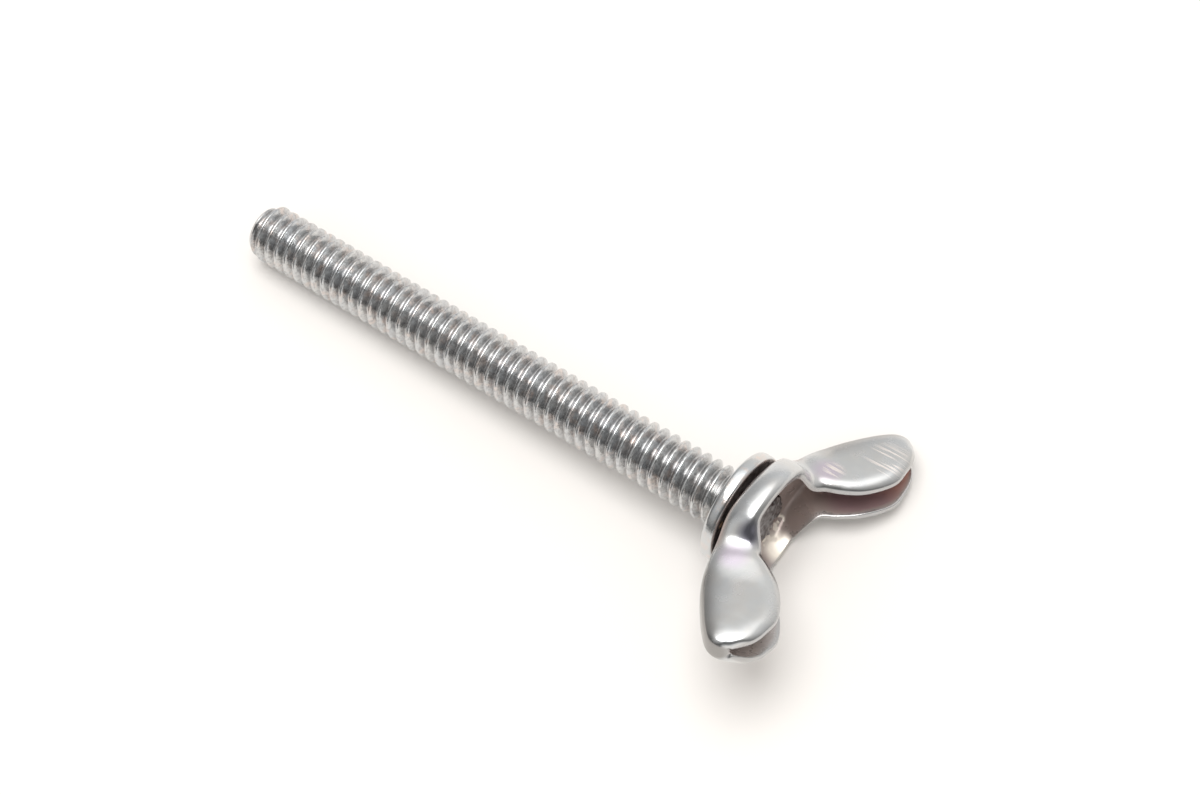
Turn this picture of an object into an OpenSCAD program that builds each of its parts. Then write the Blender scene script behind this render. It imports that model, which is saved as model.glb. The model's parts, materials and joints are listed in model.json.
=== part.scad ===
// Wing screw: a threaded stud with a round flange, staked into a folded sheet-steel wing.
// It lies at rest on its thread end, the hub's rim and the edge of one wing.

/* [Thread] */
// Major diameter of the thread, 1/4 inch with 20 turns to the inch
thread_d = 6.2; // [5.2:0.05:7.4]
// Length under the flange
thread_len = 60.3; // [50:0.1:76]
// Diameter of the flat at the thread end
tip_d = 4.9; // [4:0.1:5.1]
// Length of the chamfer at the thread end
tip_bevel = 0.9; // [0.5:0.1:1.4]

/* [Flange] */
// Diameter of the flange
flange_d = 11.5; // [9.6:0.1:12]
// Thickness of the flange
flange_t = 1.4; // [1.2:0.1:2.2]
// Radius of the flange's edges
flange_edge_r = 0.55; // [0.2:0.05:0.58]
// Diameter of the seat between flange and wing
seat_d = 8.2; // [7:0.1:9]
// Height of the seat
seat_t = 0.45; // [0.2:0.05:0.8]

/* [Staked end] */
// Diameter of the tenon that goes through the wing
tenon_d = 3.8; // [3:0.1:4.6]
// Diameter of the staked head inside the hub
stake_d = 5.4; // [4.8:0.1:6]
// Height of the staked head
stake_h = 1.1; // [0.6:0.1:1.4]

/* [Wing] */
// Thickness of the sheet
sheet_t = 1.1; // [0.9:0.02:1.32]
// Outer radius of the hub at its rim
hub_r = 6.35; // [5.25:0.05:7.6]
// Height of the hub's rim over its base
hub_h = 3.05; // [2.6:0.05:3.8]
// Half of the width over both wings
half_span = 16.6; // [13.6:0.1:20]
// Height of the wings over the hub's base
wing_h = 10.2; // [8.5:0.1:12]
// Half of the wing's thickness over its two leaves
leaf_half = 2.35; // [2.25:0.05:3.2]
// Angle by which each wing is set out of the hub's middle plane
wing_set = 3.7; // [0:0.1:8]
// How much higher the free edges of the second wing stand
second_rise = 0.4; // [0:0.1:1]
// How much higher the free edges of the lower leaves stand
lower_rise = 0.4; // [0:0.1:1]

/* [Hidden] */

eps = 0.05;
thread_r = thread_d / 2;
flange_r = flange_d / 2;
seat_r = seat_d / 2;
tenon_r = tenon_d / 2;
stake_r = stake_d / 2;
// Depth of the flat land pressed into the hub's base where it sits on the stud
land = 0.06;
// Height of the hub's base over the flange's bearing face
hub_z = flange_t + seat_t - land;
// Height of the hub's inner floor, on which the staked head lies
floor_z = hub_z + sheet_t;
// Facets of the round solids, and of the flange's rounded edges
round_fn = 96;
rim_fn = 48;
// The staked head: share of its height that is straight, and of its radius left on top
stake_straight = 0.45;
stake_top = 0.62;
stake_side = stake_h * stake_straight;
// Depth and side clearance of the cuts in the hub's base
cut = 1;
cut_gap = 0.05;

// Stations along one wing, and points across one leaf
station_steps = 4;
leaf_steps = 9;
// Powers that shape the fold: a small one gives a square corner, 1 a round one
hub_power = 0.16;
wing_power = 0.37;
// Stations over which the first power gives way to the second
power_from = 0.25;
power_to = 0.55;
// Power that spaces the points over a leaf, closer together at the fold
leaf_spacing = 1.25;
// Least half gap left inside the fold at the wing's end
pocket_min = 0.12;
// Length over which a wing turns out of the hub's middle plane
set_run = 3;

// How far a point lies out along the wing, as a fraction of the way from hub to tip
function out(f) = hub_r + (half_span - hub_r) * f;
// Free edge of one leaf from the hub's side to the wing's end: [along, across, up]
edge_pts = [
    [0, hub_r, hub_h],
    [hub_r * sin(21), hub_r * cos(21), hub_h],
    [hub_r * sin(42), hub_r * cos(42), hub_h + 0.1],
    [hub_r * 0.85, leaf_half * 1.20, wing_h * 0.395],
    [hub_r * 0.91, leaf_half * 1.09, wing_h * 0.52],
    [out(0.15), leaf_half, wing_h * 0.795],
    [out(0.41), leaf_half * 0.98, wing_h * 0.96],
    [out(0.635), leaf_half * 0.91, wing_h * 0.965],
    [out(0.86), leaf_half * 0.80, wing_h * 0.92],
    [out(0.98), leaf_half * 0.54, wing_h * 0.83]
];
// Fold line under the wing at the same stations: [along, up]
fold_pts = [
    [0, 0],
    [hub_r * 0.36, 0],
    [hub_r * 0.70, 0],
    [out(0.03), wing_h * 0.05],
    [out(0.24), wing_h * 0.10],
    [out(0.43), wing_h * 0.175],
    [out(0.635), wing_h * 0.30],
    [out(0.88), wing_h * 0.49],
    [out(1), wing_h * 0.64],
    [out(1.01), wing_h * 0.78]
];

// Catmull-Rom curve through a list of points, s from 0 to 1; before is the point ahead of the first
function spline(p0, p1, p2, p3, t) =
    p1 + (p2 - p0) * t / 2 + (2 * p0 - 5 * p1 + 4 * p2 - p3) * t * t / 2
    + (3 * p1 - p0 - 3 * p2 + p3) * t * t * t / 2;
function curve(pts, before, s) =
    let (last = len(pts) - 1, i = min(floor(s * last), last - 1), t = s * last - i)
    spline(i == 0 ? before : pts[i - 1], pts[i], pts[i + 1],
           i + 2 > last ? 2 * pts[last] - pts[last - 1] : pts[i + 2], t);
function edge_at(s) = curve(edge_pts, [-edge_pts[1][0], edge_pts[1][1], edge_pts[1][2]], s);
function fold_at(s) = curve(fold_pts, [-fold_pts[1][0], fold_pts[1][1]], s);

// Direction of a curve in its first two coordinates, taken over a short step to each side
step = 0.03;
function heading(a, b) = [b[0] - a[0], b[1] - a[1]] / norm([b[0] - a[0], b[1] - a[1]]);
function edge_heading(s) = heading(edge_at(max(s - step, 0)), edge_at(min(s + step, 1)));
function fold_heading(s) = heading(fold_at(max(s - step, 0)), fold_at(min(s + step, 1)));

// The same two curves on the sheet's inner face
function edge_inner(s) =
    let (e = edge_at(s), h = s == 0 ? [1, 0] : edge_heading(s))
    [e[0] + sheet_t * h[1], max(e[1] - sheet_t * h[0], pocket_min), e[2]];
function fold_inner(s) =
    let (f = fold_at(s), h = s == 0 ? [1, 0] : fold_heading(s))
    [f[0] - sheet_t * h[1], f[1] + sheet_t * h[0]];

// How far the wing's middle plane stands off the hub's at a distance along the wing
function set_off(u) = tan(wing_set) * (sqrt(u * u + set_run * set_run) - set_run);

// Extra height of the free edges at a station: the second wing's begins past the hub, and both end
// at the wing's end
rise_from = 0.3;
rise_run = 0.2;
function end_share(a) = min((1 - a) / rise_run, 1);
function rise_share(a) = min(max((a - rise_from) / rise_run, 0), 1) * end_share(a);
function extra(s, q) =
    let (a = abs(s))
    abs(q) * ((s < 0 ? second_rise * rise_share(a) : 0) + (q < 0 ? lower_rise * end_share(a) : 0));

// A point of the sheet: s runs from one wing's end to the other's, q from leaf to leaf
function sheet_point(s, q, inner) =
    let (
        a = abs(s),
        e = inner ? edge_inner(a) : edge_at(a),
        f = inner ? fold_inner(a) : fold_at(a),
        turn = 90 * pow(abs(q), leaf_spacing),
        blend = min(max((a - power_from) / (power_to - power_from), 0), 1),
        power = hub_power + (wing_power - hub_power) * blend,
        rise = 1 - cos(turn),
        u = f[0] + (e[0] - f[0]) * rise,
        v = sign(q) * e[1] * pow(sin(turn), power),
        w = f[1] + (e[2] - f[1]) * rise
    )
    [-(v + set_off(u)), sign(s) * u, hub_z + w + extra(s, q)];

stations = (len(edge_pts) - 1) * station_steps;
rows = 2 * stations + 1;
cols = 2 * leaf_steps + 1;
function skin(inner) = [
    for (i = [-stations : stations]) for (j = [-leaf_steps : leaf_steps])
        sheet_point(i / stations, j / leaf_steps, inner)
];
sheet_points = concat(skin(false), skin(true));
function at(i, j, layer) = (layer * rows + i) * cols + j;
sheet_faces = concat(
    [for (i = [0 : rows - 2]) for (j = [0 : cols - 2]) for (layer = [0, 1]) for (half = [0, 1])
        let (
            a = at(i, j, layer),
            b = at(i + 1, j, layer),
            c = at(i + 1, j + 1, layer),
            d = at(i, j + 1, layer)
        )
        layer == 0 ? (half == 0 ? [a, b, c] : [a, c, d]) : (half == 0 ? [a, c, b] : [a, d, c])],
    [for (i = [0 : rows - 2]) for (j = [0, cols - 1]) for (half = [0, 1])
        let (a = at(i, j, 0), b = at(i + 1, j, 0), c = at(i + 1, j, 1), d = at(i, j, 1))
        j > 0 ? (half == 0 ? [a, b, c] : [a, c, d]) : (half == 0 ? [a, c, b] : [a, d, c])],
    [for (j = [0 : cols - 2]) for (i = [0, rows - 1]) for (half = [0, 1])
        let (a = at(i, j, 0), b = at(i, j + 1, 0), c = at(i, j + 1, 1), d = at(i, j, 1))
        i == 0 ? (half == 0 ? [a, b, c] : [a, c, d]) : (half == 0 ? [a, c, b] : [a, d, c])]
);

// Rest: the screw tips and rolls until the thread end, one wing's edge and the hub's rim touch,
// or the flange's edge where it stands out further than the hub's rim
thread_end_z = -thread_len + tip_bevel;
function lean(p, roll) = (p[1] * sin(roll) + p[0] * cos(roll) - thread_r) / (p[2] - thread_end_z);
low_points = [for (p = sheet_points) if (p[0] > 0) p];
hub_low = [for (p = low_points) if (abs(p[1]) < hub_r) p];
wing_low = [for (p = low_points) if (p[1] > hub_r) p];
steepest_roll = 45;
halvings = 24;
flange_lean = (flange_r - thread_r) / (flange_edge_r - thread_end_z);
function tip_over(roll) = max(flange_lean, max([for (p = hub_low) lean(p, roll)]));
function wing_over(roll) = max([for (p = wing_low) lean(p, roll)]);
function settle(low, high, turns) =
    let (mid = (low + high) / 2)
    turns == 0 ? mid
    : wing_over(mid) > tip_over(mid) ? settle(low, mid, turns - 1) : settle(mid, high, turns - 1);
rest_roll = settle(0, steepest_roll, halvings);
rest_tilt = atan(tip_over(rest_roll));
rest_lift = thread_r * cos(rest_tilt) - thread_end_z * sin(rest_tilt);

// Where a point of the upright screw lies at rest, before it is centred
function roll_over(p) = [
    p[0] * cos(rest_roll) + p[1] * sin(rest_roll),
    p[1] * cos(rest_roll) - p[0] * sin(rest_roll),
    p[2]
];
function lay(p) =
    let (r = roll_over(p))
    [r[2] * cos(rest_tilt) + r[0] * sin(rest_tilt), r[1], r[2] * sin(rest_tilt) - r[0] * cos(rest_tilt)];
laid = [for (p = sheet_points) lay(p)];
x_min = -thread_len * cos(rest_tilt) - tip_d / 2 * sin(rest_tilt);
x_max = max([for (p = laid) p[0]]);
y_min = min([for (p = laid) p[1]]);
y_max = max([for (p = laid) p[1]]);

module at_rest() {
    translate([-(x_min + x_max) / 2, -(y_min + y_max) / 2, rest_lift])
        rotate([0, 90 - rest_tilt, 0])
            rotate([0, 0, -rest_roll])
                children();
}

module shank() {
    translate([0, 0, -thread_len])
        cylinder(r1 = tip_d / 2, r2 = thread_r, h = tip_bevel, $fn = round_fn);
    translate([0, 0, thread_end_z])
        cylinder(r = thread_r, h = -thread_end_z + eps, $fn = round_fn);
}

module flange() {
    rotate_extrude($fn = round_fn) {
        square([flange_r - flange_edge_r, flange_t]);
        translate([0, flange_edge_r])
            square([flange_r, flange_t - 2 * flange_edge_r]);
        for (z = [flange_edge_r, flange_t - flange_edge_r])
            translate([flange_r - flange_edge_r, z])
                circle(r = flange_edge_r, $fn = rim_fn);
    }
}

module staked_end() {
    translate([0, 0, flange_t - eps])
        cylinder(r = seat_r, h = seat_t + eps, $fn = round_fn);
    translate([0, 0, flange_t])
        cylinder(r = tenon_r, h = floor_z - flange_t + stake_side, $fn = round_fn);
    translate([0, 0, floor_z])
        cylinder(r = stake_r, h = stake_side, $fn = round_fn);
    translate([0, 0, floor_z + stake_side])
        cylinder(r1 = stake_r, r2 = stake_r * stake_top, h = stake_h - stake_side, $fn = round_fn);
}

module stud() {
    color("silver") at_rest() {
        shank();
        flange();
        staked_end();
    }
}

module wing() {
    color("silver") at_rest() difference() {
        polyhedron(points = sheet_points, faces = sheet_faces, convexity = 6);
        translate([0, 0, hub_z - cut])
            cylinder(r = seat_r + cut_gap, h = cut + land, $fn = round_fn);
        translate([0, 0, hub_z - cut])
            cylinder(r = tenon_r, h = sheet_t + 2 * cut, $fn = round_fn);
        translate([0, 0, floor_z])
            cylinder(r = stake_r + cut_gap, h = cut, $fn = round_fn);
    }
}

stud();
wing();
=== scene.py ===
# Wing screw lying on a pale table: a rolled stud staked into a folded sheet-metal wing,
# all zinc plated.
import json
from math import asin, ceil, cos, degrees, hypot, pi, radians, sin, sqrt, tan
import bpy
from mathutils import Matrix, Vector, noise

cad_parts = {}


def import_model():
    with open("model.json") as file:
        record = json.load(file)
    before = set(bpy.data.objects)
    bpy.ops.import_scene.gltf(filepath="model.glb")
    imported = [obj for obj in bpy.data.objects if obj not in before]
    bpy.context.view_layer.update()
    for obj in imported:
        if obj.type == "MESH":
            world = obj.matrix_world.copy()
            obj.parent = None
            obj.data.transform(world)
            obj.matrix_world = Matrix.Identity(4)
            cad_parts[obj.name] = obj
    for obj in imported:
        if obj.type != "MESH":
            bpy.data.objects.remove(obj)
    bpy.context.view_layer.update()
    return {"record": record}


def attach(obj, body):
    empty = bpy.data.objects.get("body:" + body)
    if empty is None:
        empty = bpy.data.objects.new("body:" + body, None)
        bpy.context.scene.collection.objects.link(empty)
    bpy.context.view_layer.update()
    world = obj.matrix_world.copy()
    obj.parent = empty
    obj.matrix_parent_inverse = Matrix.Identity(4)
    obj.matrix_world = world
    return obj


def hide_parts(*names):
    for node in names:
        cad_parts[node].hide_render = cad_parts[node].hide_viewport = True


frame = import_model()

mm = 0.001
mergeGap = 0.0005       # points nearer than this are merged, in millimetres
smoothAngle = 40        # faces that meet at less than this are shaded as one

# The shapes are worked out upright in millimetres, head up, with the flange's bearing
# face at height 0, and each finished piece is then laid down as the screw rests.
threadMount = next(m for m in frame["record"]["mounts"] if m["name"] == "thread")
headward = -Vector(threadMount["axis"]).normalized()
shankLength = threadMount["dims"]["length_mm"]
rest = {
    "tilt": degrees(asin(headward.z)),  # how far the head end stands up from level
    "roll": 20.923,                     # how far the screw has rolled onto one wing
}
faceCentre = Vector(threadMount["pos_m"]) + headward * shankLength / 2 * mm
layDown = (Matrix.Translation(faceCentre)
           @ Matrix.Rotation(radians(90 - rest["tilt"]), 4, "Y")
           @ Matrix.Rotation(radians(-rest["roll"]), 4, "Z")
           @ Matrix.Scale(mm, 4))


def deselectAll():
    if bpy.context.object and bpy.context.object.mode != "OBJECT":
        bpy.ops.object.mode_set(mode="OBJECT")
    bpy.ops.object.select_all(action="DESELECT")


def makeActive(piece):
    deselectAll()
    piece.select_set(True)
    bpy.context.view_layer.objects.active = piece


def editAll(piece):
    makeActive(piece)
    bpy.ops.object.mode_set(mode="EDIT")
    bpy.ops.mesh.select_all(action="SELECT")


def objectMode():
    bpy.ops.object.mode_set(mode="OBJECT")


def applyAll(piece):
    makeActive(piece)
    for modifier in list(piece.modifiers):
        bpy.ops.object.modifier_apply(modifier=modifier.name)


def drawProfile(name, points):
    # a chain of edges in the XZ plane: one vertex is extruded from point to point
    deselectAll()
    bpy.ops.mesh.primitive_plane_add(size=0.1)
    piece = bpy.context.object
    piece.name = name
    bpy.ops.object.mode_set(mode="EDIT")
    bpy.ops.mesh.select_all(action="SELECT")
    bpy.ops.mesh.merge(type="CENTER")
    bpy.ops.transform.translate(value=(points[0][0], 0, points[0][1]))
    for here, there in zip(points, points[1:]):
        step = (there[0] - here[0], 0, there[1] - here[1])
        bpy.ops.mesh.extrude_region_move(TRANSFORM_OT_translate={"value": step})
    objectMode()
    return piece


def arc(centreR, centreZ, radius, start, end, count):
    # points on a round corner of a profile, angles from outward (0) to up (90)
    turns = [radians(start + (end - start) * i / count) for i in range(count + 1)]
    return [(centreR + radius * cos(t), centreZ + radius * sin(t)) for t in turns]


def spinProfile(piece, steps):
    editAll(piece)
    bpy.ops.mesh.spin(steps=steps, angle=2 * pi, center=(0, 0, 0), axis=(0, 0, 1))
    bpy.ops.mesh.select_all(action="SELECT")
    bpy.ops.mesh.remove_doubles(threshold=mergeGap)
    bpy.ops.mesh.normals_make_consistent(inside=False)
    objectMode()


def clamp(value, low=0.0):
    return max(low, min(1.0, value))


def ease(value):
    t = clamp(value)
    return t * t * (3 - 2 * t)


def paint(piece, name, share):
    # stores a share, worked out from each point's place, for the finishes to read
    marks = piece.data.attributes.new(name, "FLOAT", "POINT")
    for vertex in piece.data.vertices:
        marks.data[vertex.index].value = share(vertex.co)


def lay(piece):
    piece.data.transform(layDown)
    piece.data.update()


def finishPiece(piece, node, material):
    makeActive(piece)
    bpy.ops.object.shade_smooth_by_angle(angle=radians(smoothAngle))
    piece.data.materials.clear()
    piece.data.materials.append(material)
    lay(piece)
    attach(piece, "root")
    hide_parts(node)


class Finish:
    # a material with its nodes, wired by short calls
    def __init__(self, name):
        self.material = bpy.data.materials.new(name)
        self.material.use_nodes = True
        self.tree = self.material.node_tree
        self.shader = self.tree.nodes["Principled BSDF"]
        self.coordinates = self.tree.nodes.new("ShaderNodeTexCoord").outputs["Object"]

    def link(self, a, b):
        self.tree.links.new(a, b)

    def stretched(self, scale):
        # a small scale along one axis draws a pattern out that way
        node = self.tree.nodes.new("ShaderNodeMapping")
        node.inputs["Scale"].default_value = scale
        self.link(self.coordinates, node.inputs["Vector"])
        return node.outputs["Vector"]

    def cloud(self, size, detail=3, roughness=0.5, at=None):
        # size is the width of the blotches in millimetres
        node = self.tree.nodes.new("ShaderNodeTexNoise")
        node.inputs["Scale"].default_value = 1 / (size * mm)
        node.inputs["Detail"].default_value = detail
        node.inputs["Roughness"].default_value = roughness
        self.link(at or self.coordinates, node.inputs["Vector"])
        return node.outputs["Fac"]

    def ramp(self, source, low, high, start=0.35, end=0.65):
        # low up to start, high from end on, and even between them
        node = self.tree.nodes.new("ShaderNodeMapRange")
        node.inputs["From Min"].default_value = start
        node.inputs["From Max"].default_value = end
        node.inputs["To Min"].default_value = low
        node.inputs["To Max"].default_value = high
        self.link(source, node.inputs["Value"])
        return node.outputs["Result"]

    def blend(self, factor, a, b):
        node = self.tree.nodes.new("ShaderNodeMix")
        node.data_type = "RGBA"
        self.link(factor, node.inputs["Factor"])
        for value, socket in ((a, node.inputs["A"]), (b, node.inputs["B"])):
            if isinstance(value, tuple):
                socket.default_value = (*value, 1)
            else:
                self.link(value, socket)
        return node.outputs["Result"]

    def painted(self, name):
        # a share stored on the piece's own points while it is modelled
        node = self.tree.nodes.new("ShaderNodeAttribute")
        node.attribute_name = name
        return node.outputs["Fac"]

    def spot(self, place, radius, soft=0.6):
        # 1 near a place, given in millimetres where the screw lies, fading to 0
        node = self.tree.nodes.new("ShaderNodeVectorMath")
        node.operation = "DISTANCE"
        self.link(self.coordinates, node.inputs[0])
        node.inputs[1].default_value = [value * mm for value in place]
        return self.ramp(node.outputs["Value"], 1, 0, radius * mm * (1 - soft), radius * mm)

    def combine(self, operation, a, b):
        node = self.tree.nodes.new("ShaderNodeMath")
        node.operation = operation
        for value, socket in ((a, node.inputs[0]), (b, node.inputs[1])):
            if isinstance(value, (int, float)):
                socket.default_value = value
            else:
                self.link(value, socket)
        return node.outputs["Value"]

    def scaled(self, source, share):
        return self.combine("MULTIPLY", source, share)

    def bump(self, height, depth, onto=None):
        # depth is the height of the relief in millimetres
        node = self.tree.nodes.new("ShaderNodeBump")
        node.inputs["Distance"].default_value = depth * mm
        self.link(height, node.inputs["Height"])
        if onto is not None:
            self.link(onto, node.inputs["Normal"])
        return node.outputs["Normal"]


zinc = {
    "plate": (0.68, 0.685, 0.68),
    "cool": (0.62, 0.645, 0.67),
    "warm": (0.72, 0.65, 0.58),
    "violet": (0.70, 0.60, 0.74),
    # painted dark reflection beside the highlight at the near wing's root
    "navyReflection": (0.24, 0.23, 0.32),
    "worn": (0.93, 0.86, 0.82),     # in the scratches
    "fold": (0.32, 0.31, 0.30),     # painted dark reflection along the fold
    # painted highlight colour, for the cup's brightest patch and the glints in its corner
    "cream": (0.97, 0.90, 0.80),
    # painted golden glint in the gap under the wing
    "gold": (1.0, 0.72, 0.48),
    "straw": (0.80, 0.66, 0.58),
    "dull": (0.40, 0.40, 0.405),    # in the flakes along the thread
    "brown": (0.46, 0.385, 0.36),   # painted shade inside the hub's cup, tinted brown
    "darkShade": (0.05, 0.032, 0.03),    # painted shade in the gap under the wing, in the thread's roots and on the staked end
    "channelShade": (0.38, 0.26, 0.27),  # painted shade inside the channels, reddish
    "copper": (0.80, 0.48, 0.38),
    "cut": (0.42, 0.42, 0.42),      # the sheet's cut edge
}

# In the looks below, a place is given in millimetres where the screw lies, a width is that
# of a pattern's blotches in millimetres, a share says how strongly a colour covers, and
# between a pair of levels of the pattern or the mark it comes in.
threadLook = {
    "toneWidth": 2.2,
    "toneShare": 0.8,
    "strawWidth": 1.1,
    "strawShare": 0.5,
    "strawBetween": (0.52, 0.66),
    "flakeWidth": 0.3,
    "flakeShare": 0.75,
    "flakeBetween": (0.47, 0.62),
    "shadeWidth": 0.5,
    "shadeShare": (0.75, 1.0),
    "shadeMetal": (1.0, 0.7),       # how metallic the plating is, clean and under the painted shade
    # painted golden glint in the gap under the wing: where and how big
    "goldGlintSpot": (25.2, -3.85, 9.55),
    "goldGlintRadius": 0.45,
    "sheenWidth": 0.5,
    "sheen": (0.09, 0.20),          # least and most roughness
    "rootSheen": 0.2,               # more of it in the roots
    "grainWidth": 0.14,
    "grainDepth": 0.011,
    "dentWidth": 0.6,
    "dentDepth": 0.012,
}


def threadFinish():
    look = threadLook
    f = Finish("rolledZinc")
    tone = f.ramp(f.cloud(look["toneWidth"]), 0, look["toneShare"])
    base = f.blend(tone, zinc["plate"], zinc["cool"])
    straw = f.cloud(look["strawWidth"], detail=4)
    straw = f.ramp(straw, 0, look["strawShare"], *look["strawBetween"])
    base = f.blend(straw, base, zinc["straw"])
    flakes = f.cloud(look["flakeWidth"], detail=5, roughness=0.65)
    flakes = f.ramp(flakes, 0, look["flakeShare"], *look["flakeBetween"])
    base = f.blend(f.combine("MULTIPLY", flakes, f.painted("rolled")), base, zinc["dull"])
    # painted shade in the thread's roots, on the flange's face under the wing and on the staked
    # end, made uneven
    hollowShade = f.painted("hollowShade")
    unevenShade = f.ramp(f.cloud(look["shadeWidth"], detail=4), *look["shadeShare"])
    unevenShade = f.combine("MULTIPLY", hollowShade, unevenShade)
    base = f.blend(unevenShade, base, zinc["darkShade"])
    # painted golden glint in the gap under the wing
    base = f.blend(f.spot(look["goldGlintSpot"], look["goldGlintRadius"]), base, zinc["gold"])
    f.link(base, f.shader.inputs["Base Color"])
    f.link(f.ramp(unevenShade, *look["shadeMetal"], 0.2, 1.0), f.shader.inputs["Metallic"])
    rough = f.ramp(f.cloud(look["sheenWidth"], detail=5), *look["sheen"])
    rough = f.combine("ADD", rough, f.ramp(hollowShade, 0, look["rootSheen"], 0, 1))
    f.link(rough, f.shader.inputs["Roughness"])
    grain = f.cloud(look["grainWidth"], detail=4, roughness=0.6)
    grain = f.bump(grain, look["grainDepth"])
    dents = f.bump(f.cloud(look["dentWidth"], detail=3), look["dentDepth"], onto=grain)
    f.link(dents, f.shader.inputs["Normal"])
    return f.material


wingLook = {
    "toneWidth": 4,
    "toneShare": 0.8,
    "warmWidth": 2.5,
    "warmShare": 0.35,
    "warmBetween": (0.45, 0.75),
    "violetSpots": ((29.7, 7.5, 6.4), (28.4, -6.3, 11.5)),
    "violetRadius": 1.9,
    "violetShare": 0.6,
    # painted dark reflection where the hub meets the near wing
    "navyReflectionSpot": (28.7, -3.7, 11.7),
    "navyReflectionRadius": 1.7,
    "navyReflectionShare": 0.7,
    # painted dark reflection along the fold
    "foldShadeShare": 0.9,
    "strokeWidth": 0.42,
    "strokeStretch": (0.06, 1, 0.1),
    "strokeSpots": (((33.6, 12.1, 4.7), 2.6), ((30.2, 7.9, 6.2), 1.3)),     # place, radius
    "strokeShare": 0.9,
    "strokeBetween": (0.55, 0.60),
    "brownBetween": (0, 0.5),               # painted shade in the cup
    "reddishBetween": (0.5, 1),             # painted shade in the channels
    "highlightSpot": (28.85, -0.2, 1.1),       # painted highlight, the brightest patch of the cup
    "highlightRadius": 1.9,
    "copperSpot": (35.5, 14.6, 3.2),        # in the channel of the far wing
    "copperRadius": 5.5,
    "cutShare": 0.6,
    "glintSpots": (                          # painted glints in the corner of the cup
        (27.5, -0.5, 1.5), (27.8, 0.25, 1.2), (27.4, 1.2, 1.5), (27.4, 2.2, 1.6),
    ),
    "glintRadius": 0.62,
    "glintWidth": 0.5,
    "tornGlintShare": 0.9,
    "glintBetween": (0.5, 0.58),
    "hollowShadeMetal": (1.0, 0.5),              # how metallic the sheet is, outside and inside
    "glintMetal": (1, 0.1),
    "sheenWidth": 1.5,
    "sheen": (0.20, 0.28),                  # least and most roughness
    "strokeSheen": 0.2,                     # more of it in these
    "hollowShadeSheen": 0.12,
    "highlightSheen": 0.05,
    "grainWidth": 0.15,
    "grainDepth": 0.003,
    "waveWidth": 3.5,
    "waveDepth": 0.035,
}


def wingFinish():
    look = wingLook
    f = Finish("pressedZinc")
    tone = f.ramp(f.cloud(look["toneWidth"]), 0, look["toneShare"])
    base = f.blend(tone, zinc["plate"], zinc["cool"])
    warm = f.cloud(look["warmWidth"], detail=4)
    warm = f.ramp(warm, 0, look["warmShare"], *look["warmBetween"])
    base = f.blend(warm, base, zinc["warm"])
    for place in look["violetSpots"]:
        violet = f.scaled(f.spot(place, look["violetRadius"]), look["violetShare"])
        base = f.blend(violet, base, zinc["violet"])
    # painted dark reflection where the hub meets the near wing
    navyReflection = f.scaled(f.spot(look["navyReflectionSpot"], look["navyReflectionRadius"]), look["navyReflectionShare"])
    base = f.blend(navyReflection, base, zinc["navyReflection"])
    # painted dark reflection along the fold
    base = f.blend(f.scaled(f.painted("fold"), look["foldShadeShare"]), base, zinc["fold"])
    # a few short strokes across the far wing
    stroke = f.cloud(look["strokeWidth"], detail=1, at=f.stretched(look["strokeStretch"]))
    stroke = f.ramp(stroke, 0, 1, *look["strokeBetween"])
    where = [f.spot(place, radius) for place, radius in look["strokeSpots"]]
    stroke = f.combine("MULTIPLY", stroke, f.combine("MAXIMUM", *where))
    base = f.blend(f.scaled(stroke, look["strokeShare"]), base, zinc["worn"])
    # painted shade: brown in the cup, reddish with a copper tint in the channels
    hollowShade = f.painted("hollowShade")
    base = f.blend(f.ramp(hollowShade, 0, 1, *look["brownBetween"]), base, zinc["brown"])
    # painted highlight on the cup's lower inner wall
    cupHighlight = f.spot(look["highlightSpot"], look["highlightRadius"], soft=0.5)
    base = f.blend(cupHighlight, base, zinc["cream"])
    copper = f.spot(look["copperSpot"], look["copperRadius"], soft=0.9)
    reddish = f.blend(copper, zinc["channelShade"], zinc["copper"])
    base = f.blend(f.ramp(hollowShade, 0, 1, *look["reddishBetween"]), base, reddish)
    base = f.blend(f.scaled(f.painted("cut"), look["cutShare"]), base, zinc["cut"])
    # painted glints: bright flecks where the cup's corner is torn
    tornGlints = 0.0
    for place in look["glintSpots"]:
        tornGlints = f.combine("MAXIMUM", tornGlints, f.spot(place, look["glintRadius"], soft=0.4))
    flecks = f.cloud(look["glintWidth"], detail=0.5)
    flecks = f.ramp(flecks, 0, look["tornGlintShare"], *look["glintBetween"])
    tornGlints = f.combine("MULTIPLY", tornGlints, flecks)
    base = f.blend(tornGlints, base, zinc["cream"])
    f.link(base, f.shader.inputs["Base Color"])
    metal = f.ramp(hollowShade, *look["hollowShadeMetal"], 0, 0.5)
    metal = f.combine("MULTIPLY", metal, f.ramp(tornGlints, *look["glintMetal"], 0, 1))
    f.link(metal, f.shader.inputs["Metallic"])
    rough = f.ramp(f.cloud(look["sheenWidth"], detail=5), *look["sheen"])
    rough = f.combine("ADD", rough, f.scaled(stroke, look["strokeSheen"]))
    rough = f.combine("ADD", rough, f.scaled(hollowShade, look["hollowShadeSheen"]))
    rough = f.combine("ADD", rough, f.scaled(cupHighlight, look["highlightSheen"]))
    f.link(rough, f.shader.inputs["Roughness"])
    grain = f.cloud(look["grainWidth"], detail=4, roughness=0.6)
    grain = f.bump(grain, look["grainDepth"])
    waves = f.bump(f.cloud(look["waveWidth"], detail=2), look["waveDepth"], onto=grain)
    f.link(waves, f.shader.inputs["Normal"])
    return f.material


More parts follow.
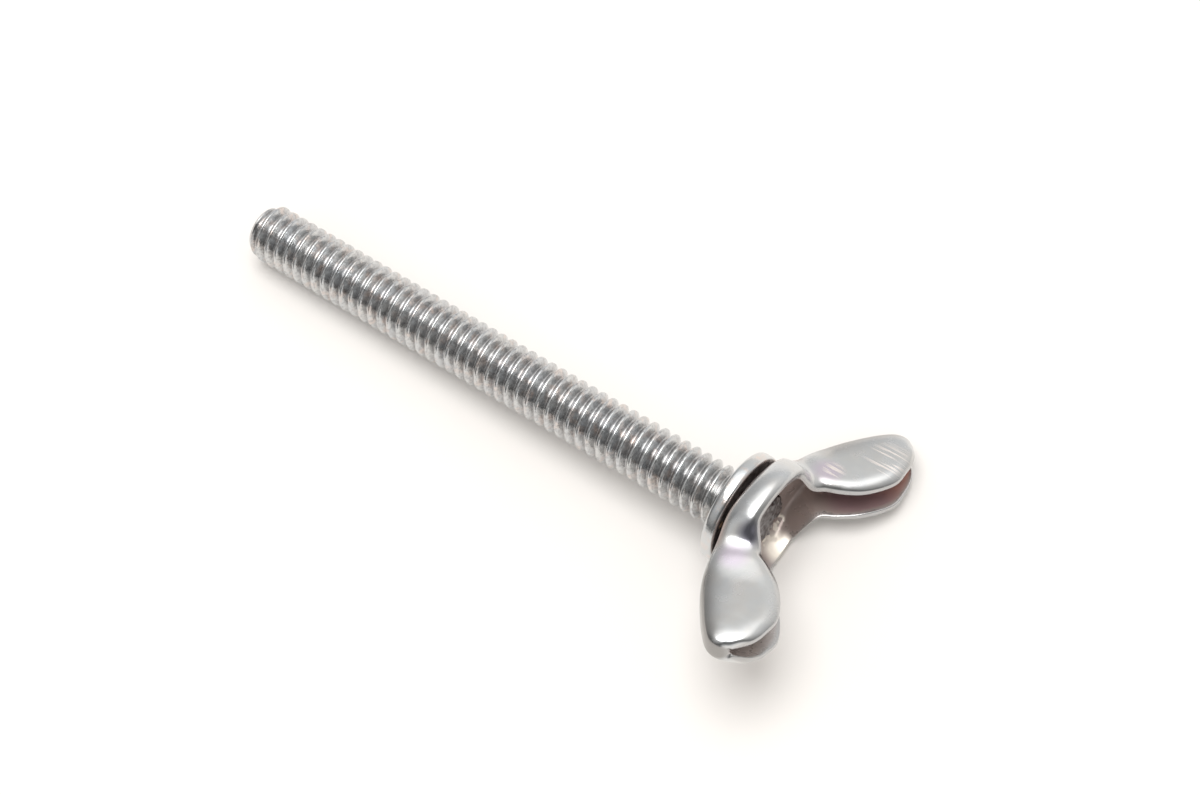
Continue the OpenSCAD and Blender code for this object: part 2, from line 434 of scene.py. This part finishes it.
stud = {
    "pitch": 1.27,          # 20 turns to the inch
    "crestRadius": 3.1,
    "rootRadius": 2.36,
    "crestShare": 0.20,     # of the pitch that is flat crest
    "rootShare": 0.16,      # and flat root
    "rounding": 0.10,       # share of the half pitch over which the corners are rounded
    "phase": 0.565,         # height of one crest above the thread end, on the x side
    "end": 60.3,            # length of the shank under the flange
    "endRadius": 2.45,      # of the flat end
    "bevel": 0.9,           # length of the end's chamfer
    "blankRadius": 2.78,    # shank before rolling, seen where the thread runs out
    "runOut": 1.9,
    "steps": 60,            # points round the thread
    "collar": ((-0.28, -1.0), (-0.08, -0.6)),   # how it swells to the blank's radius, and where
    "fillet": 0.35,
    "filletFrom": 165,      # degrees round its arc, which ends at 90 under the flange
    "bore": 1.5,            # the flange is spun as a ring, open inside the shank
    "flangeRadius": 5.85,
    "flangeHeight": 1.4,
    "flangeEdge": 0.5,      # depth of the rounded rim
    "flangeSquare": 0.62,   # 1 rounds the rim to a half ellipse, less squares it
    "flangeRing": 1.2,      # one more ring this far inside the rim keeps the face flat
    "flangeSteps": 96,
    "rimSteps": 16,
    "seatRadius": 4.1,
    "seatTop": 1.79,
    "seatBevel": 0.1,
    "stakeRadius": 2.9,
    "stakeHeight": 1.1,
    "stakeEdge": 0.4,       # radius of its bulging rim
    "stakeLip": 0.1,        # the rim stands this far out over its foot
    "stakeCrown": ((0.72, 0.86), (0.4, 1), (0, 0.93)),  # shares of its radius and height
    "stakeSteps": 64,
    "lumpFrom": 0.05,       # above the hub's floor it is uneven,
    "lumpScale": 0.9,       # with broad lumps
    "tearScale": 2.6,       # and small tears
    "tearShare": 0.9,
    "lumpOut": 0.10,
    "lumpUp": 0.4,
    "tenonRadius": 1.9,
    "tenonFoot": 0.5,       # the staked end reaches down to here inside the shank
    "floor": 2.89,          # height of the hub's inner floor
    "seamGap": 0.004,       # slivers along the seams between the joined parts are closed up
}


def threadHeight(t):
    # share of the thread's height at t, where 0 is the crest's middle and 1 the root's
    rise, samples = 0.0, 9
    for i in range(samples):
        at = abs(t + stud["rounding"] * (2 * i / (samples - 1) - 1))
        at = 2 - at if at > 1 else at
        crest, root = stud["crestShare"], 1 - stud["rootShare"]
        rise += clamp((root - at) / (root - crest)) / samples
    return rise


def threadProfile():
    c, r, w = stud["crestShare"], 1 - stud["rootShare"], stud["rounding"]
    marks = [0, c - w, c - w / 3, c + w / 3, c + w, r - w, r - w / 3, r + w / 3, 1]
    turn = [-m for m in reversed(marks[1:])] + marks
    root, deep = stud["rootRadius"], stud["crestRadius"] - stud["rootRadius"]
    return [(root + deep * threadHeight(abs(m)), m * stud["pitch"] / 2) for m in turn]


def shankRadius(radius, z):
    # the turns run out towards the flange and are cut by the end's chamfer
    fade = ease(1 + z / stud["runOut"])
    radius += (stud["blankRadius"] - radius) * fade
    above = z + stud["end"]
    slope = (stud["crestRadius"] - stud["endRadius"]) / stud["bevel"]
    return min(radius, stud["endRadius"] + max(above, 0) * slope)


def makeShank():
    piece = drawProfile("shank", threadProfile())
    turns = ceil(stud["end"] / stud["pitch"]) + 2
    screw = piece.modifiers.new("turns", "SCREW")
    screw.axis = "Z"
    screw.angle = 2 * pi
    screw.screw_offset = stud["pitch"]
    screw.iterations = turns
    screw.steps = screw.render_steps = stud["steps"]
    screw.use_merge_vertices = True
    screw.merge_threshold = mergeGap
    applyAll(piece)
    start = stud["phase"] - stud["end"] - stud["pitch"]
    for vertex in piece.data.vertices:
        vertex.co.z += start
    editAll(piece)
    bpy.ops.mesh.remove_doubles(threshold=mergeGap)
    # cut off square below the end and inside the flange's seat, and closed there
    for height, inner in ((-stud["end"], True), (stud["seatTop"] / 2, False)):
        bpy.ops.mesh.select_all(action="SELECT")
        bpy.ops.mesh.bisect(plane_co=(0, 0, height), plane_no=(0, 0, 1), use_fill=True,
                            clear_inner=inner, clear_outer=not inner, threshold=0.0001)
    objectMode()
    for vertex in piece.data.vertices:
        x, y, z = vertex.co
        radius = hypot(x, y)
        k = shankRadius(radius, min(z, 0)) / radius
        vertex.co = (x * k, y * k, z)
    editAll(piece)
    bpy.ops.mesh.normals_make_consistent(inside=False)
    objectMode()
    return piece


def makeFlange():
    r, h, edge = stud["flangeRadius"], stud["flangeHeight"], stud["flangeEdge"]
    square, bore = stud["flangeSquare"], stud["bore"]
    # a collar comes up out of the run-out and ends in the fillet under the flange
    neck, fillet = stud["blankRadius"], stud["fillet"]
    collar = [(neck + swell, height) for swell, height in stud["collar"]]
    foot = collar[0][1]
    profile = [(bore, foot)] + collar + [(neck, -fillet)]
    profile += arc(neck + fillet, -fillet, fillet, stud["filletFrom"], 90, 5)
    profile.append((r - edge - stud["flangeRing"], 0))
    steps = stud["rimSteps"]
    for i in range(steps + 1):
        turn = radians(-90 + 180 * i / steps)
        bulge = abs(cos(turn)) ** square
        side = abs(sin(turn)) ** square * (1 if i > steps / 2 else -1)
        profile.append((r - edge + edge * bulge, h / 2 + h / 2 * side))
    # the seat on top of it, which the wing's hub sits on
    seat, bevel, top = stud["seatRadius"], stud["seatBevel"], stud["seatTop"]
    profile += [(seat + bevel, h), (seat, h + bevel), (seat, top), (bore, top), (bore, foot)]
    piece = drawProfile("flange", profile)
    spinProfile(piece, stud["flangeSteps"])
    return piece


def makeStake():
    r, h, edge = stud["stakeRadius"], stud["stakeHeight"], stud["stakeEdge"]
    tenon, foot, floor = stud["tenonRadius"], stud["tenonFoot"], stud["floor"]
    profile = [(0, foot), (tenon, foot), (tenon, floor), (r - stud["stakeLip"], floor)]
    profile += arc(r - edge, floor + edge, edge, -60, 60, 5)
    profile += [(r * share, floor + h * rise) for share, rise in stud["stakeCrown"]]
    piece = drawProfile("stake", profile)
    spinProfile(piece, stud["stakeSteps"])
    # the staking tool leaves an uneven rim
    broad, fine = stud["lumpScale"], stud["tearScale"]
    for vertex in piece.data.vertices:
        x, y, z = vertex.co
        if z > floor + stud["lumpFrom"]:
            lump = noise.noise(Vector((x * broad, y * broad, 3.1)))
            lump += stud["tearShare"] * noise.noise(Vector((x * fine, y * fine, 8.7)))
            k = 1 + stud["lumpOut"] * lump
            up = stud["lumpUp"] * lump * ease(hypot(x, y) / r)
            vertex.co = (x * k, y * k, z + up)
    return piece


# How much painted shade the stud carries, and where
studMarks = {
    "stakeFrom": 0.15,      # all above the seat by this is the staked end, which gets painted shade
    "tornSide": -0.5,       # but the painted shade is left off its torn rim where x is more than this
    "tornFrom": 0.7,        # share of its radius at which the rim starts
    "tornRun": 0.2,
    "tornGlintShare": 0.45,
    "tornSpread": 4,        # how unevenly, and how close the pattern is
    "tornScale": 2.1,
    "faceFrom": 0.12,       # the flange's upper face, with the rounded corner it starts from
    "faceEdge": 0.1,        # it is free of painted shade this far in from the rim
    "faceRun": 0.35,
    "threadTo": -0.02,      # the rest of the flange has no painted shade, down to the thread
    "crestDepth": 0.12,     # the thread's crests have no painted shade down to this
    "rootShare": 0.55,      # how much painted shade its roots get
    "rootPower": 1.5,
}


def studHollowShade(place):
    # painted shade: the thread's roots, the flange's face under the wing and the staked end in
    # the cup are darkened
    marks = studMarks
    radius = hypot(place.x, place.y)
    if place.z > stud["seatTop"] + marks["stakeFrom"]:
        rim = 0
        if place.x > marks["tornSide"]:
            rim = ease((radius / stud["stakeRadius"] - marks["tornFrom"]) / marks["tornRun"])
        uneven = marks["tornSpread"] * noise.noise(place * marks["tornScale"])
        return 1 - rim * clamp(marks["tornGlintShare"] + uneven)
    if place.z > stud["flangeHeight"] - marks["faceFrom"]:
        return clamp((stud["flangeRadius"] - marks["faceEdge"] - radius) / marks["faceRun"])
    if place.z > marks["threadTo"]:
        return 0.0
    depth = stud["crestRadius"] - marks["crestDepth"] - radius
    depth /= stud["crestRadius"] - stud["rootRadius"]
    return marks["rootShare"] * clamp(depth) ** marks["rootPower"]


def makeStud(material):
    print("stud: thread, flange and staked end")
    shank, flange, stake = makeShank(), makeFlange(), makeStake()
    for part in (flange, stake):
        union = shank.modifiers.new(part.name, "BOOLEAN")
        union.operation = "UNION"
        union.solver = "EXACT"
        union.object = part
    applyAll(shank)
    for part in (flange, stake):
        bpy.data.objects.remove(part)
    editAll(shank)
    bpy.ops.mesh.remove_doubles(threshold=stud["seamGap"])
    objectMode()
    shank.name = "stud_threaded"
    paint(shank, "hollowShade", studHollowShade)
    paint(shank, "rolled", lambda place: 1 - ease(1 + place.z))     # the thread, not the flange
    finishPiece(shank, "stud", material)
    return shank


wing = {
    "sheet": 1.1,
    "hubRadius": 6.35,
    "hubHeight": 3.05,
    "halfSpan": 16.6,
    "height": 10.2,
    "leafHalf": 2.35,
    "set": 3.7,             # degrees that each wing stands out of the hub's middle plane
    "setRun": 3,
    "secondRise": 0.4,      # the free edges of the second wing stand this much higher
    "lowerRise": 0.4,       # and so do those of the lower leaves
    "riseFrom": 0.3,
    "riseRun": 0.2,
    "hubPower": 0.16,       # small gives a square fold, 1 a round one
    "wingPower": 0.4,
    "powerFrom": 0.25,      # the fold changes from one to the other between these stations
    "powerTo": 0.55,
    "pinch": 0.08,          # the fold of a wing is this much narrower than its free edges
    "shutFrom": 0.86,       # where the channel begins to rise and close towards the tip
    "shutDepth": 0.1,       # and how deep it still is there
    "leafSpacing": 1.25,
    "rowCrowding": 0.35,    # rows stand closer together towards the free edge
    "flare": 0.3,           # the lower leaf's inner face opens out towards the hub's rim
    "flareFrom": 0.5,
    "flarePower": 1.5,
    "pocket": 0.22,         # least half width of a channel
    "base": 1.79,           # height of the hub's base over the flange's bearing face
    "stationSteps": 6,
    "leafSteps": 14,
    "rollDepth": 0.52,      # rounding of the outer edge by the punch, into the sheet
    "hubRoll": 1.2,         # and along its face, at the hub
    "wingRoll": 1.1,        # and at the wings
    "wingRollFrom": 0.25,
    "tipRoll": 1.4,         # more of it towards the second wing's tip
    "tipRollFrom": 0.66,
    "rollRun": 0.2,
    "thinnest": 0.2,        # sheet that is pinched thinner than this is not rolled
    "edgeBevel": 0.10,
    "bevelSteps": 2,
    "tipFrom": 15.3,        # the tips' lips are smoothed beyond this, along the wing
    "tipHeight": 9.7,       # and above this
    "tipSmooth": 10,
    "tipFade": 2.0,         # the bevel narrows over this last stretch
    "tipBevel": 0.15,       # and this share of it is left at the end
}


def out(share):
    return wing["hubRadius"] + (wing["halfSpan"] - wing["hubRadius"]) * share


def edgePoints():
    # free edge of one leaf from the hub's side to the wing's end: along, across, up
    r, h, leaf, top = wing["hubRadius"], wing["hubHeight"], wing["leafHalf"], wing["height"]
    a, b = radians(21), radians(42)
    return [Vector(p) for p in (
        (0, r, h),
        (r * sin(a), r * cos(a), h),
        (r * sin(b), r * cos(b), h + 0.1),
        (r * 0.82, leaf * 1.22, top * 0.395),
        (r * 0.96, leaf * 1.10, top * 0.555),
        (out(0.15), leaf, top * 0.795),
        (out(0.41), leaf * 0.98, top * 0.96),
        (out(0.635), leaf * 0.92, top * 0.965),
        (out(0.82), leaf * 0.80, top * 0.935),
        (out(0.98), leaf * 0.53, top * 0.83),
    )]


def foldPoints():
    # fold line under the wing at the same stations: along, 0, up
    r, top = wing["hubRadius"], wing["height"]
    return [Vector((p[0], 0, p[1])) for p in (
        (0, 0),
        (r * 0.36, 0),
        (r * 0.70, 0),
        (out(0.03), top * 0.05),
        (out(0.24), top * 0.10),
        (out(0.43), top * 0.175),
        (out(0.635), top * 0.30),
        (out(0.88), top * 0.49),
        (out(1), top * 0.64),
        (out(1.005), top * 0.815),
    )]


def curveAt(points, s):
    # Catmull-Rom curve, mirrored ahead of its first point
    last = len(points) - 1
    i = min(int(s * last), last - 1)
    t = s * last - i
    first = points[1].copy()
    first.x = -first.x
    p0 = points[i - 1] if i else first
    p1, p2 = points[i], points[i + 1]
    p3 = points[i + 2] if i + 2 <= last else 2 * points[last] - points[last - 1]
    return (p1 + (p2 - p0) * (t / 2) + (2 * p0 - 5 * p1 + 4 * p2 - p3) * (t * t / 2)
            + (3 * p1 - p0 - 3 * p2 + p3) * (t * t * t / 2))


edgeCurve, foldCurve = edgePoints(), foldPoints()


def headingAt(points, s, axis):
    step = 0.03
    if s == 0:
        return 1.0, 0.0
    a, b = curveAt(points, max(s - step, 0)), curveAt(points, min(s + step, 1))
    along, across = b.x - a.x, b[axis] - a[axis]
    size = hypot(along, across)
    return along / size, across / size


def sheetPoint(s, q, inner):
    a = abs(s)
    edge, fold = curveAt(edgeCurve, a), curveAt(foldCurve, a)
    if inner:
        thick = wing["sheet"]
        along, across = headingAt(edgeCurve, a, 1)
        width = max(edge.y - thick * along, wing["pocket"])
        edge = Vector((edge.x + thick * across, width, edge.z))
        along, up = headingAt(foldCurve, a, 2)
        fold = Vector((fold.x - thick * up, 0, fold.z + thick * along))
        shut = ease((a - wing["shutFrom"]) / (1 - wing["shutFrom"]))
        fold.z += (edge.z - wing["shutDepth"] - fold.z) * shut
    turn = pi / 2 * min(abs(q), 1) ** wing["leafSpacing"]
    blend = clamp((a - wing["powerFrom"]) / (wing["powerTo"] - wing["powerFrom"]))
    power = wing["hubPower"] + (wing["wingPower"] - wing["hubPower"]) * blend
    rise = 1 - cos(turn)
    u = fold.x + (edge.x - fold.x) * rise
    pinch = 1 - wing["pinch"] * blend * cos(turn)
    v = edge.y * sin(turn) ** power * pinch * (1 if q > 0 else -1)
    if inner and q < 0:
        opening = max(0, 1 - cos(turn) / wing["flareFrom"]) ** wing["flarePower"]
        v -= wing["flare"] * opening * (1 - blend)
    w = fold.z + (edge.z - fold.z) * rise
    if s < 0:
        ramp = clamp((a - wing["riseFrom"]) / wing["riseRun"]) * clamp((1 - a) / wing["riseRun"])
        w += wing["secondRise"] * ramp * abs(q)
    if q < 0:
        w += wing["lowerRise"] * clamp((1 - a) / wing["riseRun"]) * abs(q)
    setOff = tan(radians(wing["set"])) * (sqrt(u * u + wing["setRun"] ** 2) - wing["setRun"])
    return Vector((-(v + setOff), u if s >= 0 else -u, wing["base"] + w))


def leafShare(q):
    a = abs(q)
    return (1 if q >= 0 else -1) * (a + wing["rowCrowding"] * a * (1 - a) * a)


def rolledPoint(s, q):
    # the outer face curls in where the punch has drawn the edge down
    point, under = sheetPoint(s, q, False), sheetPoint(s, q, True)
    edge = sheetPoint(s, 1 if q >= 0 else -1, False)
    end = sheetPoint(1 if s >= 0 else -1, q, False)
    further = ease((abs(s) - wing["wingRollFrom"]) / wing["rollRun"])
    reach = wing["hubRoll"] + (wing["wingRoll"] - wing["hubRoll"]) * further
    if s < 0:
        reach += wing["tipRoll"] * ease((abs(s) - wing["tipRollFrom"]) / wing["rollRun"])
    near = 1 - clamp(min((point - edge).length, (point - end).length) / reach)
    inward = under - point
    if inward.length < wing["thinnest"]:
        return point
    return point + inward.normalized() * wing["rollDepth"] * (1 - sqrt(1 - near * near))


# How much painted shade the sheet carries, as shares, and where: s runs from -1 at one tip over
# 0 at the hub's middle to 1 at the other, q from -1 at one free edge over 0 at the fold to 1 at
# the other.
# A pair of values is where a mark ends or starts and how far it takes to fade.
wingMarks = {
    "rimWidth": 0.7,            # the sheet stays free of painted shade this far inside its free edge
    "cupRim": 0.8,              # but less so in the cup
    "cupRimTo": (0.48, 0.15),
    "cup": 0.5,
    "farChannel": 0.5,          # more of it in the far wing's channel
    "nearChannel": -0.2,        # and less in the near one's
    "channelFrom": (0.4, 0.12),
    "under": 0.5,               # painted shade under the hub, next to the flange
    "underTo": (0.42, 0.1),
    "underAcross": (0.5, 0.2),
    # painted dark reflection along the fold
    "foldShadeFrom": (0.42, 0.15),
    "foldShadeAcross": (0.66, 0.5),
    "cutFrom": 0.999,           # the outermost row of points is the cut edge
}


def before(value, mark):
    end, run = wingMarks[mark]
    return ease((end - abs(value)) / run)


def beyond(value, mark):
    start, run = wingMarks[mark]
    return ease((abs(value) - start) / run)


def sheetSkin(name, inner):
    rows = 2 * (len(edgeCurve) - 1) * wing["stationSteps"]
    cols = 2 * wing["leafSteps"]
    deselectAll()
    bpy.ops.mesh.primitive_grid_add(x_subdivisions=rows, y_subdivisions=cols, size=2)
    skin = bpy.context.object
    skin.name = name
    places = {}
    for vertex in skin.data.vertices:
        s, q = round(vertex.co.x, 6), leafShare(round(vertex.co.y, 6))
        vertex.co = sheetPoint(s, q, True) if inner else rolledPoint(s, q)
        places[vertex.index] = (s, q)
    # the first attribute holds painted shade in the cup, the channels and under the hub, the
    # second a painted dark reflection along the fold, the third marks the cut edge
    hollowShade = skin.data.attributes.new("hollowShade", "FLOAT", "POINT")
    fold = skin.data.attributes.new("fold", "FLOAT", "POINT")
    cut = skin.data.attributes.new("cut", "FLOAT", "POINT")
    marks = wingMarks
    for i, (s, q) in places.items():
        if inner:
            edge = sheetPoint(s, 1 if q >= 0 else -1, True)
            away = (skin.data.vertices[i].co - edge).length
            depth = max(ease(away / marks["rimWidth"]), marks["cupRim"] * before(s, "cupRimTo"))
            more = marks["farChannel"] if s > 0 else marks["nearChannel"]
            hollowShade.data[i].value = depth * (marks["cup"] + more * beyond(s, "channelFrom"))
        else:
            under = marks["under"] * before(s, "underTo") * before(q, "underAcross")
            hollowShade.data[i].value = under
            fold.data[i].value = before(q, "foldShadeAcross") * beyond(s, "foldShadeFrom")
        cut.data[i].value = 1 if max(abs(s), abs(q)) > marks["cutFrom"] else 0
    return skin


def softenTips(piece):
    # both tips are rounded over where the two cut edges meet, and the bevel narrows there
    bpy.ops.mesh.select_all(action="DESELECT")
    bpy.ops.mesh.select_mode(type="VERT")
    objectMode()
    mesh = piece.data
    for vertex in mesh.vertices:
        vertex.select = abs(vertex.co.y) > wing["tipFrom"] and vertex.co.z > wing["tipHeight"]
    bpy.ops.object.mode_set(mode="EDIT")
    bpy.ops.mesh.vertices_smooth(factor=0.5, repeat=wing["tipSmooth"])
    objectMode()
    weights = mesh.attributes["bevel_weight_edge"]
    for edge in mesh.edges:
        reach = max(abs(mesh.vertices[i].co.y) for i in edge.vertices)
        left = (wing["halfSpan"] - reach) / wing["tipFade"]
        weights.data[edge.index].value *= clamp(left, wing["tipBevel"])


def makeWing(material):
    print("wing: folded sheet")
    outerSkin, innerSkin = sheetSkin("wing_sheet", False), sheetSkin("innerSkin", True)
    deselectAll()
    innerSkin.select_set(True)
    outerSkin.select_set(True)
    bpy.context.view_layer.objects.active = outerSkin
    bpy.ops.object.join()
    editAll(outerSkin)
    bpy.ops.mesh.select_all(action="DESELECT")
    bpy.ops.mesh.select_mode(type="EDGE")
    bpy.ops.mesh.select_non_manifold(extend=False)
    bpy.ops.transform.edge_bevelweight(value=1)
    bpy.ops.mesh.bridge_edge_loops()
    bpy.ops.mesh.select_all(action="SELECT")
    bpy.ops.mesh.normals_make_consistent(inside=False)
    softenTips(outerSkin)
    bevel = outerSkin.modifiers.new("rim", "BEVEL")
    bevel.limit_method = "WEIGHT"
    bevel.width = wing["edgeBevel"]
    bevel.segments = wing["bevelSteps"]
    bevel.use_clamp_overlap = False
    applyAll(outerSkin)
    smooth = outerSkin.modifiers.new("smooth", "SUBSURF")
    smooth.levels = smooth.render_levels = 1
    applyAll(outerSkin)
    finishPiece(outerSkin, "wing", material)
    return outerSkin


tabletop = {
    "size": 3.0,
    "tones": ((0.92, 0.905, 0.885), (0.90, 0.88, 0.86)),
    "toneWidth": 60,        # of its blotches, in millimetres
    "roughness": 0.55,
    "gloss": 0.3,
}


def floorFinish():
    f = Finish("paleTable")
    base = f.blend(f.ramp(f.cloud(tabletop["toneWidth"], detail=3), 0, 1), *tabletop["tones"])
    f.link(base, f.shader.inputs["Base Color"])
    f.shader.inputs["Roughness"].default_value = tabletop["roughness"]
    f.shader.inputs["Specular IOR Level"].default_value = tabletop["gloss"]
    return f.material


def makeTable():
    print("table")
    deselectAll()
    bpy.ops.mesh.primitive_plane_add(size=tabletop["size"])
    table = bpy.context.object
    table.name = "table"
    table.data.materials.append(floorFinish())


studio = {
    "keyPlace": (-0.03, 0.025, 0.749),  # a round softbox almost straight above
    "keySize": 0.54,
    "keyPower": 3.2,
    # how bright the room is seen all round: degrees from +Y towards +X, level
    "walls": (
        (-180, 0.17), (-125, 0.20), (-108, 0.28), (-90, 0.42), (-60, 0.50), (-35, 0.70),
        (-10, 0.85), (40, 0.75), (80, 0.35), (105, 0.13), (180, 0.17),
    ),
    # paler patches: which way, level, inner and outer radius in degrees
    "glows": (
        ((-0.16, 0.38, 0.90), 1.0, 12, 34),
        ((-0.24, -0.36, 0.90), 0.40, 8, 30),
        ((0.75, -0.65, 0.0), 0.65, 12, 36),
        ((-0.38, -0.75, 0.55), 0.32, 6, 26),
    ),
    "airTint": (1.0, 0.99, 0.975),
    "fillTint": (1.0, 0.965, 0.93),     # warm light on everything matt, which lifts the shadows
    "fillLevel": 0.78,
    "fillHeight": 0.55,                 # all of it comes from above this height
    "fillLow": 0.12,                    # and this share from the horizon, so that what touches
                                        # the table is dark
    "backdrop": (0.93, 0.92, 0.91),     # seen past the table's edge
}


def makeSoftbox():
    print("softbox")
    light = bpy.data.lights.new("softbox", "AREA")
    light.shape = "DISK"
    light.size = studio["keySize"]
    light.energy = studio["keyPower"]
    light.color = studio["airTint"]
    lamp = bpy.data.objects.new("softbox", light)
    lamp.location = studio["keyPlace"]
    lamp.rotation_euler = (-Vector(studio["keyPlace"])).to_track_quat("-Z", "Y").to_euler()
    bpy.context.scene.collection.objects.link(lamp)


def makeSurround():
    # grey studio walls, darker towards one side, and plain pale past the table's edge
    print("studio walls")
    world = bpy.data.worlds.new("studio")
    bpy.context.scene.world = world
    world.use_nodes = True
    tree = world.node_tree
    nodes, links = tree.nodes, tree.links

    def combine(operation, a, b):
        node = nodes.new("ShaderNodeMath")
        node.operation = operation
        for value, socket in ((a, node.inputs[0]), (b, node.inputs[1])):
            if isinstance(value, (int, float)):
                socket.default_value = value
            else:
                links.new(value, socket)
        return node.outputs[0]

    way = nodes.new("ShaderNodeTexCoord").outputs["Generated"]
    split = nodes.new("ShaderNodeSeparateXYZ")
    links.new(way, split.inputs[0])
    turned = combine("ARCTAN2", split.outputs["X"], split.outputs["Y"])
    share = combine("ADD", combine("DIVIDE", turned, 2 * pi), 0.5)
    walls = nodes.new("ShaderNodeValToRGB")
    links.new(share, walls.inputs["Fac"])
    stops = walls.color_ramp.elements
    while len(stops) < len(studio["walls"]):
        stops.new(0.5)
    for stop, (turn, level) in zip(stops, studio["walls"]):
        stop.position = turn / 360 + 0.5
        stop.color = (level, level, level, 1)
    level = walls.outputs["Color"]
    for glowWay, glowLevel, inner, outer in studio["glows"]:
        facing = nodes.new("ShaderNodeVectorMath")
        facing.operation = "DOT_PRODUCT"
        facing.inputs[1].default_value = Vector(glowWay).normalized()
        links.new(way, facing.inputs[0])
        glow = nodes.new("ShaderNodeMapRange")
        glow.inputs["From Min"].default_value = cos(radians(outer))
        glow.inputs["From Max"].default_value = cos(radians(inner))
        glow.inputs["To Max"].default_value = glowLevel
        links.new(facing.outputs["Value"], glow.inputs["Value"])
        level = combine("ADD", level, glow.outputs["Result"])
    sky = nodes["Background"]
    sky.inputs["Color"].default_value = (*studio["airTint"], 1)
    links.new(level, sky.inputs["Strength"])
    fill = nodes.new("ShaderNodeBackground")
    fill.inputs["Color"].default_value = (*studio["fillTint"], 1)
    low = nodes.new("ShaderNodeMapRange")
    low.inputs["From Max"].default_value = studio["fillHeight"]
    low.inputs["To Min"].default_value = studio["fillLevel"] * studio["fillLow"]
    low.inputs["To Max"].default_value = studio["fillLevel"]
    links.new(split.outputs["Z"], low.inputs["Value"])
    links.new(low.outputs["Result"], fill.inputs["Strength"])
    plain = nodes.new("ShaderNodeBackground")
    plain.inputs["Color"].default_value = (*studio["backdrop"], 1)
    path = nodes.new("ShaderNodeLightPath")
    matt, pick = nodes.new("ShaderNodeMixShader"), nodes.new("ShaderNodeMixShader")
    links.new(path.outputs["Is Diffuse Ray"], matt.inputs["Fac"])
    links.new(sky.outputs["Background"], matt.inputs[1])
    links.new(fill.outputs["Background"], matt.inputs[2])
    links.new(path.outputs["Is Camera Ray"], pick.inputs["Fac"])
    links.new(matt.outputs["Shader"], pick.inputs[1])
    links.new(plain.outputs["Background"], pick.inputs[2])
    links.new(pick.outputs["Shader"], nodes["World Output"].inputs["Surface"])


cameraPlace = {
    "location": (0.087819, -0.069546, 0.229867),
    "turn": (25.102, 6.318, 35.511),    # degrees
    "lens": 75,
    "sensor": 36,
    "clip": 0.005,
}


def makeCamera():
    print("camera")
    data = bpy.data.cameras.new("camera")
    data.lens = cameraPlace["lens"]
    data.sensor_width = cameraPlace["sensor"]
    data.clip_start = cameraPlace["clip"]
    camera = bpy.data.objects.new("camera", data)
    camera.location = cameraPlace["location"]
    camera.rotation_euler = [radians(t) for t in cameraPlace["turn"]]
    bpy.context.scene.collection.objects.link(camera)
    bpy.context.scene.camera = camera


bpy.context.scene.view_settings.view_transform = "Standard"
makeCamera()
makeTable()
makeSoftbox()
makeSurround()
makeStud(threadFinish())
makeWing(wingFinish())
